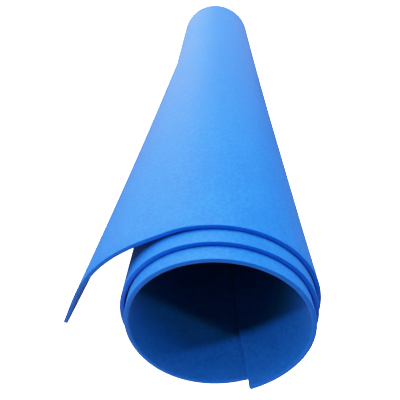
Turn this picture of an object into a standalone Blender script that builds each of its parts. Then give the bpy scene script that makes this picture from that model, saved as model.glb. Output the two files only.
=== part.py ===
"""Craft foam sheet: one flat sheet of closed-cell foam, loosely rolled up and lying on its side.

Metres, +Z up. The roll's axis lies along Y, with its near end towards -Y. The outer flap has sprung
open on the -X side. The roll rests on the underside of its turns and on the flap's near corner.
"""

import math

import bpy
import numpy as np

FULL_TURN = 2 * math.pi

# The sheet laid flat: the long side is rolled up, and the short side lies along the roll
SHEET_LENGTH = 0.700
SHEET_WIDTH = 0.500
THICKNESS = 0.002

# The rolled turns, wound a little askew and not quite round, with the outer turn bulging on the flap's side
OUTER_RADIUS = 0.0431
TURN_GAP = 0.0002
ROLL_SKEW = math.radians(1.55)
OVAL = 0.00056
OVAL_AT = math.radians(16)
LOBE = 0.00052
LOBE_AT = math.radians(75)
BULGE = 0.0007
BULGE_AT = math.radians(270)
BULGE_SPREAD = math.radians(35)

# The flap, measured outward from the roll's crown: it leaves the crown, then bends down at a soft knee
FLAP_LENGTH = 0.0932
CROWN_TURN = math.radians(21.6)
CROWN_REACH = 0.0196
KNEE_TURN = math.radians(40.9)
KNEE_START = 0.020
KNEE_REACH = 0.064

# The flap is open at the near end and lies against the roll from this far along
PEEL_REACH = 0.3055
PEEL_POWER = 0.78

# How finely the sheet is divided, and how far the curves run on past it
STEP_ALONG = 0.00467
STEP_ACROSS = 0.0555
CURVE_STEPS = 6000
CURVE_MARGIN = 1.6

EDGE_ANGLE = math.radians(40)
FOAM_COLOUR = (0.040, 0.270, 0.900, 1.0)
FOAM_ROUGHNESS = 0.62


def clear_scene():
    for obj in list(bpy.data.objects):
        bpy.data.objects.remove(obj, do_unlink=True)


def new_collection(name):
    collection = bpy.data.collections.new(name)
    bpy.context.scene.collection.children.link(collection)
    return collection


def foam_material():
    material = bpy.data.materials.new("blue_foam")
    material.use_nodes = True
    shader = material.node_tree.nodes["Principled BSDF"]
    shader.inputs["Base Color"].default_value = FOAM_COLOUR
    shader.inputs["Roughness"].default_value = FOAM_ROUGHNESS
    shader.inputs["Metallic"].default_value = 0.0
    return material


def ease(share):
    """0 to 1, with a soft start and a soft stop."""
    share = np.clip(share, 0.0, 1.0)
    return share * share * (3 - 2 * share)


def running_sum(steps):
    return np.concatenate([[0.0], np.cumsum(steps)])


def wound_curve():
    """The spiral through the middle of the sheet: distance inward from the crown, X, Z and heading."""
    outward, inward = CURVE_MARGIN * FLAP_LENGTH, CURVE_MARGIN * SHEET_LENGTH
    angle = np.linspace(-outward, inward, CURVE_STEPS) / OUTER_RADIUS
    radius = OUTER_RADIUS - THICKNESS / 2 - (THICKNESS + TURN_GAP) * angle / FULL_TURN
    radius += OVAL * np.cos(2 * (angle - OVAL_AT)) + LOBE * np.cos(3 * (angle - LOBE_AT))
    for bulge_at in (BULGE_AT, BULGE_AT - FULL_TURN):
        radius += BULGE * np.exp(-((angle - bulge_at) / BULGE_SPREAD) ** 2)
    x, z = radius * np.sin(angle), radius * np.cos(angle)
    distance = running_sum(np.hypot(np.diff(x), np.diff(z)))
    distance -= np.interp(0.0, angle, distance)
    heading = np.unwrap(np.arctan2(-np.gradient(z), np.gradient(x)))
    return distance, x, z, heading


def flap_curve(wound, opening):
    """The flap's middle outward from the crown: distance, X and Z. Opening 0 hugs the roll, 1 is sprung."""
    distance, x, z, heading = wound
    out = np.linspace(0.0, CURVE_MARGIN * FLAP_LENGTH, CURVE_STEPS // 10)
    hugging = -np.interp(-out, distance, heading)
    bend = CROWN_TURN * ease(out / CROWN_REACH) + KNEE_TURN * ease((out - KNEE_START) / KNEE_REACH)
    sprung = np.minimum(hugging[0] + bend, hugging)
    fall = hugging + opening * (sprung - hugging)
    fall = (fall[1:] + fall[:-1]) / 2
    flap_x = np.interp(0.0, distance, x) - running_sum(np.cos(fall)) * out[1]
    flap_z = np.interp(0.0, distance, z) - running_sum(np.sin(fall)) * out[1]
    return out, flap_x, flap_z


def rolled(along, across):
    """Where points of the flat sheet go: along from the flap's edge inward, across from the near edge."""
    wound = wound_curve()
    distance, x, z, _ = wound
    inward = along * math.cos(ROLL_SKEW) + across * math.sin(ROLL_SKEW) - FLAP_LENGTH
    points = np.empty((len(along), 3))
    points[:, 0] = np.interp(inward, distance, x)
    points[:, 1] = across * math.cos(ROLL_SKEW) - along * math.sin(ROLL_SKEW)
    points[:, 2] = np.interp(inward, distance, z)
    for row in np.unique(across):
        opening = max(0.0, 1 - row / PEEL_REACH) ** PEEL_POWER
        out, flap_x, flap_z = flap_curve(wound, opening)
        on_flap = (across == row) & (inward < 0)
        points[on_flap, 0] = np.interp(-inward[on_flap], out, flap_x)
        points[on_flap, 2] = np.interp(-inward[on_flap], out, flap_z)
    return points


def level_turn(points):
    """The turn about Y that sets the flap's corner level with the underside of the turns."""
    sprung = np.hypot(points[:, 0], points[:, 2]) > OUTER_RADIUS + THICKNESS

    def lowest(chosen, turn):
        return (points[chosen, 0] * math.sin(turn) + points[chosen, 2] * math.cos(turn)).min()

    less, more = 0.0, FULL_TURN / 4
    for _ in range(50):
        turn = (less + more) / 2
        if lowest(sprung, turn) > lowest(~sprung, turn):
            less = turn
        else:
            more = turn
    return less


def rolled_sheet():
    steps_along, steps_across = round(SHEET_LENGTH / STEP_ALONG), round(SHEET_WIDTH / STEP_ACROSS)
    bpy.ops.mesh.primitive_grid_add(x_subdivisions=steps_along, y_subdivisions=steps_across, size=1)
    sheet = bpy.context.object
    grid = np.empty(len(sheet.data.vertices) * 3)
    sheet.data.vertices.foreach_get("co", grid)
    grid = grid.reshape(-1, 3).round(6) + 0.5
    middle = rolled(grid[:, 0] * SHEET_LENGTH, grid[:, 1] * SHEET_WIDTH)
    sheet.data.vertices.foreach_set("co", middle.ravel())
    solidify = sheet.modifiers.new("thickness", "SOLIDIFY")
    solidify.thickness = THICKNESS
    solidify.offset = 0.0
    solidify.use_even_offset = True
    solid = bpy.data.meshes.new_from_object(sheet.evaluated_get(bpy.context.evaluated_depsgraph_get()))
    bpy.data.objects.remove(sheet, do_unlink=True)
    return solid


def resting_object(mesh, name, collection):
    """Turns the mesh to the way it lies, and stands it on the ground about the middle of its box."""
    points = np.empty(len(mesh.vertices) * 3)
    mesh.vertices.foreach_get("co", points)
    points = points.reshape(-1, 3)
    turn = level_turn(points)
    side = points[:, 0] * math.cos(turn) - points[:, 2] * math.sin(turn)
    height = points[:, 0] * math.sin(turn) + points[:, 2] * math.cos(turn)
    middle_y = (points[:, 1].min() + points[:, 1].max()) / 2
    obj = bpy.data.objects.new(name, mesh)
    obj.rotation_euler = (0.0, -turn, 0.0)
    obj.location = (-(side.min() + side.max()) / 2, -middle_y, -height.min())
    collection.objects.link(obj)
    return obj


def main():
    clear_scene()
    collection = new_collection("craft_foam_sheet")
    mesh = rolled_sheet()
    mesh.name = "foam_sheet"
    mesh.materials.append(foam_material())
    mesh.shade_smooth()
    mesh.set_sharp_from_angle(angle=EDGE_ANGLE)
    resting_object(mesh, "foam_sheet", collection)


main()
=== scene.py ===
"""Craft foam sheet, loosely rolled: a fine mesh of the one sheet, its foam finish and a plain studio.

Metres, +Z up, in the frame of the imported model. The roll lies along Y with its near end towards -Y.
"""
import math

import bmesh
import bpy
import numpy as np
from mathutils import Matrix, Vector


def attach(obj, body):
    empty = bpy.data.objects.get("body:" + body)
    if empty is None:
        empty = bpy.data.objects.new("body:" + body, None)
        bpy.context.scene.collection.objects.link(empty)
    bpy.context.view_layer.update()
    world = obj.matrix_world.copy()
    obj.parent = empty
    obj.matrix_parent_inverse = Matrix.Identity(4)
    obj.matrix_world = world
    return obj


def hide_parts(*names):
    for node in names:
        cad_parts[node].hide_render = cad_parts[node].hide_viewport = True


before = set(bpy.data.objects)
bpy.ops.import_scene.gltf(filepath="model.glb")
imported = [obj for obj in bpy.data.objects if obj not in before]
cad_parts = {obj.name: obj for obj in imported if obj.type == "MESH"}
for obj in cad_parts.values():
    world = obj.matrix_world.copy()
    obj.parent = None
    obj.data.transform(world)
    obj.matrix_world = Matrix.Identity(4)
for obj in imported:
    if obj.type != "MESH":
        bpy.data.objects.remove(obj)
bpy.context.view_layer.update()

FULL_TURN = 2 * math.pi

# The sheet laid flat: the long side is rolled up, and the short side lies along the roll
SHEET_LENGTH = 0.7025
SHEET_WIDTH = 0.500
THICKNESS = 0.002

# How far its corners and the two rims of its cut edges are rounded
CORNER_ROUND = 0.0005
OUTER_RIM_ROUND = 0.0003
INNER_RIM_ROUND = 0.00045

# The rolled turns, wound a little askew and not quite round
OUTER_RADIUS = 0.04305
TURN_GAP = 0.0002
ROLL_SKEW = math.radians(1.577)
OVAL = 0.00056
OVAL_AT = math.radians(16)
LOBE = 0.00052
LOBE_AT = math.radians(75)

# The outer turn bulges under the flap, near the lip
BULGE = 0.0009
BULGE_AT = math.radians(269)
BULGE_SPREAD = math.radians(26)
BULGE_REACH = 0.045

# All turns swell a little on the other side near the lip, and more towards the far end
LIP_SWELL = 0.0005
LIP_SWELL_AT = math.radians(105)
LIP_SWELL_SPREAD = math.radians(25)
LIP_SWELL_REACH = 0.040
FAR_SWELL = 0.0025
FAR_SWELL_AT = math.radians(87)
FAR_SWELL_SPREAD = math.radians(30)
FAR_SWELL_START = 0.17
FAR_SWELL_POWER = 1.4

# The flap, measured outward from the roll's crown: it leaves the crown, then bends down at a soft knee
FLAP_LENGTH = 0.0940
CROWN_TURN = math.radians(21.6)
CROWN_REACH = 0.0196
KNEE_TURN = math.radians(40.9)
KNEE_START = 0.020
KNEE_REACH = 0.064

# The flap is open at the near end and lies against the roll from this far along
PEEL_REACH = 0.3055
PEEL_POWER = 0.78

# How finely the sheet and its rounded corners and rims are divided
STEPS_ALONG = 350
STEPS_ACROSS = 60
CORNER_STEPS = 4
RIM_STEPS = 3
ROUND_PROFILE = 0.5

# An edge folded more sharply than this is a rim, and a point this far under the skin belongs to the cut edge
RIM_ANGLE = math.radians(60)
SKIN_DEPTH = 0.00001

# How finely the curves are divided, how far they run on past the sheet, and which points count as one row
CURVE_STEPS = 6000
FLAP_STEPS = 600
CURVE_MARGIN = 1.6
ROW_DECIMALS = 5

# How often the range of turns is halved in the search for the one at which the roll rests
HALVINGS = 50

# The foam's blues, from its darker to its lighter spots. The cut edges' lighter blue is painted light: it
# stands in for the light that the edges catch
SKIN_BLUES = ((0.0044, 0.102, 0.462, 1), (0.0080, 0.134, 0.578, 1))
PAINTED_LIGHT_CUT_BLUES = ((0.0027, 0.131, 0.680, 1), (0.0038, 0.157, 0.770, 1))

# The foam's patterns: spots to the metre, how many finer layers each has, and how strong those are
CLOUDING = (14.0, 3.0, 0.6)
BLOTCHES = (110.0, 3.0, 0.6)
GRIT = (700.0, 3.0, 0.75)
CELLS = (2600.0, 1.0, 0.6)
PORES = 1500.0

# How much each pattern counts in the shade of the skin, and the part of a pattern's values that is used
CLOUDING_SHARE = 0.20
BLOTCHES_SHARE = 0.12
GRIT_SHARE = 0.68
SHADE_SPAN = (0.42, 0.58)
WIDE_SPAN = (0.3, 0.7)

# The foam's relief: how much grit and cells count, then the depth and strength of the grain and the pores
GRIT_RELIEF = 0.6
CELLS_RELIEF = 0.4
GRAIN_DEPTH = 0.00026
GRAIN_STRENGTH = 0.70
PORE_SIZE = 0.35
PORE_DEPTH = 0.00008
SKIN_PORES = 0.30
EXTRA_CUT_PORES = 0.5

# The foam's roughness, in which cells and clouding count alike, then its gloss and its sheen
SMOOTHEST = 0.44
ROUGHEST = 0.55
EVEN_SHARE = 0.5
GLOSS = 0.14
SHEEN = 0.055
SHEEN_ROUGHNESS = 0.35

# The camera, from where the sheet's near edge crosses the crown, before the roll is turned to rest
CAMERA_AT = (0.0073, -0.1241, 0.1360)
CAMERA_DOWN = math.radians(33.22)
CAMERA_ASIDE = math.radians(-4.84)
CAMERA_LEAN = math.radians(-6.0)
FOCAL_PIXELS = 416.6
PICTURE_PIXELS = 400
SENSOR_MM = 36.0
NEAREST_SEEN = 0.01

# Studio lamps, before the turn to rest: degrees right of the camera side, degrees up, width and watts
LAMP_DISTANCE = 2.0
LAMPS = {
    "left_key": (-46, 56, 0.16, 12),
    "right_key": (43, 45, 0.16, 5.4),
    "overhead": (180, 78, 1.5, 60),
    "back_left": (-135, 45, 2.0, 28),
    "left": (-90, 30, 2.0, 26.5),
    "right": (90, 30, 2.0, 35.5),
    "back_low": (180, 12, 2.0, 8),
    "back_left_low": (-150, 15, 2.0, 11),
    "floor_bounce": (0, -75, 2.0, 10.5),
    "floor_bounce_left": (-50, -30, 1.5, 17),
    "floor_bounce_right": (50, -30, 1.5, 3),
}
LAMPS_AIM_AT = (0, SHEET_WIDTH / 4, 0)

# The white floor and room: how brightly the room lights the roll, and how bright white looks to the camera
ROOM_LIGHT = 0.105
WHITE_LIGHT = 3.0
FLOOR_SIZE = 60.0
FLOOR_COLOUR = (0.85, 0.85, 0.85, 1)
FLOOR_ROUGHNESS = 0.9
WHITE = (1, 1, 1, 1)

# The tones: a shoulder for bright light and a toe for dark blues, and where each curve has its points
SHOULDER = 0.6
SHOULDER_POINTS = (0.06, 0.15, 0.3, 0.5, 0.75, 1.0, 1.3, 1.7, 2.2)
BLUE_TOE = 0.60
BLUE_TOE_REACH = 0.042
BLUE_TOE_POINTS = (0.014, 0.028, 0.041, 0.055, 0.070, 0.090, 0.130, 0.250, 0.500)

# Places of a Mix node's sockets for colours, which share their names with its other sockets
MIX_SHARE = 0
MIX_FIRST_COLOUR = 6
MIX_SECOND_COLOUR = 7
MIX_COLOUR_OUT = 2

# Places of the curves in the tone mapping
BLUE_CURVE = 2
ALL_COLOURS_CURVE = 3


def ease(share):
    """0 to 1, with a soft start and a soft stop."""
    share = np.clip(share, 0.0, 1.0)
    return share * share * (3 - 2 * share)


def running_sum(steps):
    return np.concatenate([[0.0], np.cumsum(steps)])


def swell(angle, most, at, spread):
    """A smooth rise of the radius on one side of every turn."""
    return most * np.exp((np.cos(angle - at) - 1) / spread**2)


def wound_curve(row):
    """The spiral through the sheet's middle at one distance from the near edge.

    Returns the distance inward from the crown, X, Z and the heading along the spiral.
    """
    bulge = BULGE * (1 - ease(row / BULGE_REACH))
    lip_swell = LIP_SWELL * (1 - ease(row / LIP_SWELL_REACH))
    far_share = max(0.0, row - FAR_SWELL_START) / (SHEET_WIDTH - FAR_SWELL_START)
    outward, inward = CURVE_MARGIN * FLAP_LENGTH, CURVE_MARGIN * SHEET_LENGTH
    angle = np.linspace(-outward, inward, CURVE_STEPS) / OUTER_RADIUS
    radius = OUTER_RADIUS - THICKNESS / 2 - (THICKNESS + TURN_GAP) * angle / FULL_TURN
    radius += OVAL * np.cos(2 * (angle - OVAL_AT)) + LOBE * np.cos(3 * (angle - LOBE_AT))
    for bulge_at in (BULGE_AT, BULGE_AT - FULL_TURN):
        radius += bulge * np.exp(-((angle - bulge_at) / BULGE_SPREAD) ** 2)
    radius += swell(angle, lip_swell, LIP_SWELL_AT, LIP_SWELL_SPREAD)
    radius += swell(angle, FAR_SWELL * far_share**FAR_SWELL_POWER, FAR_SWELL_AT, FAR_SWELL_SPREAD)
    x, z = radius * np.sin(angle), radius * np.cos(angle)
    distance = running_sum(np.hypot(np.diff(x), np.diff(z)))
    distance -= np.interp(0.0, angle, distance)
    heading = np.unwrap(np.arctan2(-np.gradient(z), np.gradient(x)))
    return distance, x, z, heading


def flap_curve(wound, opening):
    """The flap's middle outward from the crown. Opening 0 hugs the roll, and 1 is sprung.

    Returns the distance outward, X, Z and how steeply the flap falls.
    """
    distance, x, z, heading = wound
    out = np.linspace(0.0, CURVE_MARGIN * FLAP_LENGTH, FLAP_STEPS)
    hugging = -np.interp(-out, distance, heading)
    bend = CROWN_TURN * ease(out / CROWN_REACH) + KNEE_TURN * ease((out - KNEE_START) / KNEE_REACH)
    sprung = np.minimum(hugging[0] + bend, hugging)
    fall = hugging + opening * (sprung - hugging)
    middle = (fall[1:] + fall[:-1]) / 2
    flap_x = np.interp(0.0, distance, x) - running_sum(np.cos(middle)) * out[1]
    flap_z = np.interp(0.0, distance, z) - running_sum(np.sin(middle)) * out[1]
    return out, flap_x, flap_z, fall


def rolled(flat):
    """Where points of the flat sheet go: along it, across it and over its middle."""
    along, across, over = flat.T
    inward = along * math.cos(ROLL_SKEW) + across * math.sin(ROLL_SKEW) - FLAP_LENGTH
    px, pz, turn = np.empty((3, len(flat)))
    rows = across.round(ROW_DECIMALS)
    for row in np.unique(rows):
        wound = wound_curve(row)
        distance, x, z, heading = wound
        on_roll = (rows == row) & (inward >= 0)
        px[on_roll] = np.interp(inward[on_roll], distance, x)
        pz[on_roll] = np.interp(inward[on_roll], distance, z)
        turn[on_roll] = np.interp(inward[on_roll], distance, heading)
        opening = max(0.0, 1 - row / PEEL_REACH) ** PEEL_POWER
        out, flap_x, flap_z, fall = flap_curve(wound, opening)
        on_flap = (rows == row) & (inward < 0)
        px[on_flap] = np.interp(-inward[on_flap], out, flap_x)
        pz[on_flap] = np.interp(-inward[on_flap], out, flap_z)
        turn[on_flap] = -np.interp(-inward[on_flap], out, fall)
    py = across * math.cos(ROLL_SKEW) - along * math.sin(ROLL_SKEW)
    return np.stack([px + over * np.sin(turn), py, pz + over * np.cos(turn)], axis=1)


def level_turn(points):
    """The turn about Y that sets the flap's corner level with the underside of the turns."""
    sprung = np.hypot(points[:, 0], points[:, 2]) > OUTER_RADIUS + THICKNESS

    def lowest(chosen, turn):
        return (points[chosen, 0] * math.sin(turn) + points[chosen, 2] * math.cos(turn)).min()

    less, more = 0.0, FULL_TURN / 4
    for _ in range(HALVINGS):
        turn = (less + more) / 2
        if lowest(sprung, turn) > lowest(~sprung, turn):
            less = turn
        else:
            more = turn
    return less


def resting_place(points):
    """The matrix that turns the roll to the way it lies and stands it on the floor.

    The middle of its box comes to X 0 and Y 0.
    """
    spin = Matrix.Rotation(-level_turn(points), 4, "Y")
    turned = points @ np.array(spin.to_3x3()).T
    low, high = turned.min(axis=0), turned.max(axis=0)
    middle = (low + high) / 2
    return Matrix.Translation((-middle[0], -middle[1], -low[2])) @ spin


def coordinates(mesh):
    flat = np.empty(len(mesh.vertices) * 3)
    mesh.vertices.foreach_get("co", flat)
    return flat.reshape(-1, 3)


def round_off(cut, kind, chosen, distance, steps):
    """Rounds the chosen corners or edges of a mesh that is being cut."""
    bmesh.ops.bevel(cut, geom=chosen, affect=kind, offset=distance, segments=steps, profile=ROUND_PROFILE)


def flat_slab():
    """The sheet laid flat, at its thickness, with cut edges and corners slightly rounded."""
    bpy.ops.mesh.primitive_grid_add(x_subdivisions=STEPS_ALONG, y_subdivisions=STEPS_ACROSS, size=1)
    slab = bpy.context.object
    grid = coordinates(slab.data) + 0.5
    grid[:, 2] = 0.0
    slab.data.vertices.foreach_set("co", (grid * (SHEET_LENGTH, SHEET_WIDTH, 1)).ravel())
    cut = bmesh.new()
    cut.from_mesh(slab.data)
    corners = [v for v in cut.verts if len(v.link_edges) == 2]
    round_off(cut, "VERTICES", corners, CORNER_ROUND, CORNER_STEPS)
    cut.to_mesh(slab.data)
    cut.free()
    solidify = slab.modifiers.new("thickness", "SOLIDIFY")
    solidify.thickness = THICKNESS
    solidify.offset = 0.0
    mesh = bpy.data.meshes.new_from_object(slab.evaluated_get(bpy.context.evaluated_depsgraph_get()))
    bpy.data.objects.remove(slab, do_unlink=True)
    cut = bmesh.new()
    cut.from_mesh(mesh)
    for side, rounding in ((1, OUTER_RIM_ROUND), (-1, INNER_RIM_ROUND)):
        sharp = [e for e in cut.edges if e.calc_face_angle(0) > RIM_ANGLE]
        rim = [e for e in sharp if all(side * v.co.z > 0 for v in e.verts)]
        round_off(cut, "EDGES", rim, rounding, RIM_STEPS)
    cut.to_mesh(mesh)
    cut.free()
    return mesh


def foam_sheet():
    """The rolled sheet as one piece, and the matrix that places the roll's own frame in the room."""
    mesh = flat_slab()
    flat = coordinates(mesh)
    edge = (abs(flat[:, 2]) < THICKNESS / 2 - SKIN_DEPTH).astype(np.float32)
    mesh.attributes.new("cut_edge", "FLOAT", "POINT").data.foreach_set("value", edge)
    points = rolled(flat)
    place = resting_place(points)
    points = points @ np.array(place.to_3x3()).T + np.array(place.translation)
    mesh.vertices.foreach_set("co", points.ravel())
    mesh.update()
    mesh.shade_smooth()
    sheet = bpy.data.objects.new("rolled_foam_sheet", mesh)
    bpy.context.scene.collection.objects.link(sheet)
    return sheet, place


class Term:
    """A shader value that can stand in a sum."""

    def __init__(self, finish, socket):
        self.finish = finish
        self.socket = socket

    def worked(self, operation, first, second):
        return self.finish.node("Math", {"operation": operation}, {0: first, 1: second})

    def __add__(self, other):
        return self.worked("ADD", self, other)

    def __radd__(self, other):
        return self.worked("ADD", other, self)

    def __mul__(self, other):
        return self.worked("MULTIPLY", self, other)

    def __rmul__(self, other):
        return self.worked("MULTIPLY", other, self)


class Finish:
    """A material in the making, with one method that adds any node."""

    def __init__(self, name):
        self.material = bpy.data.materials.new(name)
        self.material.use_nodes = True
        self.tree = self.material.node_tree
        self.shader = self.tree.nodes["Principled BSDF"]

    def feed(self, socket, value):
        if isinstance(value, Term):
            self.tree.links.new(value.socket, socket)
        else:
            socket.default_value = value

    def node(self, kind, settings=None, sockets=None, output=0):
        made = self.tree.nodes.new("ShaderNode" + kind)
        for name, value in (settings or {}).items():
            setattr(made, name, value)
        for name, value in (sockets or {}).items():
            self.feed(made.inputs[name], value)
        return Term(self, made.outputs[output])

    def noise(self, where, scale, detail, roughness):
        sockets = {"Vector": where, "Scale": scale, "Detail": detail, "Roughness": roughness}
        return self.node("TexNoise", {}, sockets)

    def ranged(self, value, low, high, to_low=0.0, to_high=1.0):
        sockets = {"Value": value, "From Min": low, "From Max": high, "To Min": to_low, "To Max": to_high}
        return self.node("MapRange", {"clamp": True}, sockets)

    def mixed(self, share, first, second):
        sockets = {MIX_SHARE: share, MIX_FIRST_COLOUR: first, MIX_SECOND_COLOUR: second}
        return self.node("Mix", {"data_type": "RGBA"}, sockets, output=MIX_COLOUR_OUT)

    def bump(self, height, depth, strength, normal=None):
        sockets = {"Height": height, "Distance": depth, "Strength": strength}
        if normal is not None:
            sockets["Normal"] = normal
        return self.node("Bump", {}, sockets)

    def surface(self, **sockets):
        for name, value in sockets.items():
            self.feed(self.shader.inputs[name.replace("_", " ")], value)


def foam_finish():
    """Matt closed-cell foam: an even blue skin with fine cells, faint clouding and small pores. Its cut
    edges get a lighter blue, which is painted light.
    """
    foam = Finish("blue_craft_foam")
    where = foam.node("TexCoord", output="Object")
    edge = foam.node("Attribute", {"attribute_name": "cut_edge"}, output="Fac")

    clouding = foam.noise(where, *CLOUDING)
    blotches = foam.noise(where, *BLOTCHES)
    grit = foam.noise(where, *GRIT)
    cells = foam.noise(where, *CELLS)
    pores = foam.node("TexVoronoi", {"feature": "F1"}, {"Vector": where, "Scale": PORES})

    spots = clouding * CLOUDING_SHARE + blotches * BLOTCHES_SHARE + grit * GRIT_SHARE
    skin = foam.mixed(foam.ranged(spots, *SHADE_SPAN), *SKIN_BLUES)
    # Painted light: the cut edges are coloured a lighter blue in place of the light they catch
    cut = foam.mixed(foam.ranged(grit, *WIDE_SPAN), *PAINTED_LIGHT_CUT_BLUES)
    dullness = cells * EVEN_SHARE + clouding * EVEN_SHARE
    roughness = foam.ranged(dullness, *WIDE_SPAN, SMOOTHEST, ROUGHEST)
    grain = foam.bump(grit * GRIT_RELIEF + cells * CELLS_RELIEF, GRAIN_DEPTH, GRAIN_STRENGTH)
    pore_strength = SKIN_PORES + EXTRA_CUT_PORES * edge
    pitted = foam.bump(foam.ranged(pores, 0.0, PORE_SIZE), PORE_DEPTH, pore_strength, grain)
    foam.surface(Base_Color=foam.mixed(edge, skin, cut), Roughness=roughness, Normal=pitted, Metallic=0.0)
    foam.surface(Specular_IOR_Level=GLOSS, Sheen_Weight=SHEEN, Sheen_Roughness=SHEEN_ROUGHNESS)
    return foam.material


def floor_finish():
    """White that glows to the camera and lights nothing."""
    floor = Finish("white_floor")
    floor.surface(Base_Color=FLOOR_COLOUR, Roughness=FLOOR_ROUGHNESS)
    floor.surface(Emission_Color=WHITE, Emission_Strength=WHITE_LIGHT)
    floor.material.cycles.emission_sampling = "NONE"
    return floor.material


def camera(place):
    """The camera at the photograph's view of the roll, carried round with the roll's turn to rest."""
    down, aside, lean = CAMERA_DOWN, CAMERA_ASIDE, CAMERA_LEAN
    ahead = Vector((math.sin(aside) * math.cos(down), math.cos(aside) * math.cos(down), -math.sin(down)))
    right = Vector((math.cos(aside), -math.sin(aside), 0))
    up = right.cross(ahead)
    tilted_right = math.cos(lean) * right + math.sin(lean) * up
    tilted_up = math.cos(lean) * up - math.sin(lean) * right
    turn = Matrix((tilted_right, tilted_up, -ahead)).transposed().to_4x4()
    at = Vector(CAMERA_AT) - Vector((0, FLAP_LENGTH * math.tan(ROLL_SKEW), 0))
    data = bpy.data.cameras.new("camera")
    data.sensor_width = SENSOR_MM
    data.lens = FOCAL_PIXELS / PICTURE_PIXELS * SENSOR_MM
    data.clip_start = NEAREST_SEEN
    obj = bpy.data.objects.new("camera", data)
    obj.matrix_world = place @ Matrix.Translation(at) @ turn
    bpy.context.scene.collection.objects.link(obj)
    bpy.context.scene.camera = obj


def white_floor():
    """The floor the roll lies on, white to the camera. It throws no light and no shadow on the roll."""
    bpy.ops.mesh.primitive_plane_add(size=FLOOR_SIZE)
    floor = bpy.context.object
    floor.name = "floor"
    floor.data.materials.append(floor_finish())
    floor.visible_diffuse = False
    floor.visible_glossy = False
    floor.visible_shadow = False


def lamps(place):
    """The lamps round the near end of the roll, carried round with the roll's turn to rest."""
    target = place @ Vector(LAMPS_AIM_AT)
    for name, (aside, up, width, watts) in LAMPS.items():
        aside, up = math.radians(aside), math.radians(up)
        towards = Vector((math.sin(aside) * math.cos(up), -math.cos(aside) * math.cos(up), math.sin(up)))
        towards = place.to_3x3() @ towards
        data = bpy.data.lights.new(name, "AREA")
        data.shape = "DISK"
        data.size = width
        data.energy = watts
        lamp = bpy.data.objects.new(name, data)
        lamp.location = target + LAMP_DISTANCE * towards
        lamp.rotation_mode = "QUATERNION"
        lamp.rotation_quaternion = towards.to_track_quat("Z", "Y")
        bpy.context.scene.collection.objects.link(lamp)


def white_room():
    """Walls that look white and light the roll only faintly."""
    room = bpy.data.worlds.new("room")
    room.use_nodes = True
    tree = room.node_tree
    walls = tree.nodes["Background"]
    walls.inputs["Color"].default_value = WHITE
    light = tree.nodes.new("ShaderNodeMapRange")
    light.inputs["To Min"].default_value = ROOM_LIGHT
    light.inputs["To Max"].default_value = WHITE_LIGHT
    tree.links.new(tree.nodes.new("ShaderNodeLightPath").outputs["Is Camera Ray"], light.inputs["Value"])
    tree.links.new(light.outputs["Result"], walls.inputs["Strength"])
    bpy.context.scene.world = room


def film_tones():
    """A soft shoulder for the brightest tones and a toe for the darkest blues, as film has."""
    view = bpy.context.scene.view_settings
    view.view_transform = "Standard"
    view.use_curve_mapping = True
    tones = view.curve_mapping
    tones.white_level = (WHITE_LIGHT, WHITE_LIGHT, WHITE_LIGHT)
    tones.extend = "HORIZONTAL"
    for light in SHOULDER_POINTS:
        tone = 1 - math.exp(-light * (1 + SHOULDER * light))
        tones.curves[ALL_COLOURS_CURVE].points.new(light / WHITE_LIGHT, tone)
    for tone in BLUE_TOE_POINTS:
        kept = 1 - BLUE_TOE * math.exp(-(tone / BLUE_TOE_REACH) ** 3)
        tones.curves[BLUE_CURVE].points.new(tone, tone * kept)
    tones.update()


sheet, place = foam_sheet()
sheet.data.materials.append(foam_finish())
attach(sheet, "root")
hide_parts("foam_sheet")
camera(place)
white_floor()
lamps(place)
white_room()
film_tones()
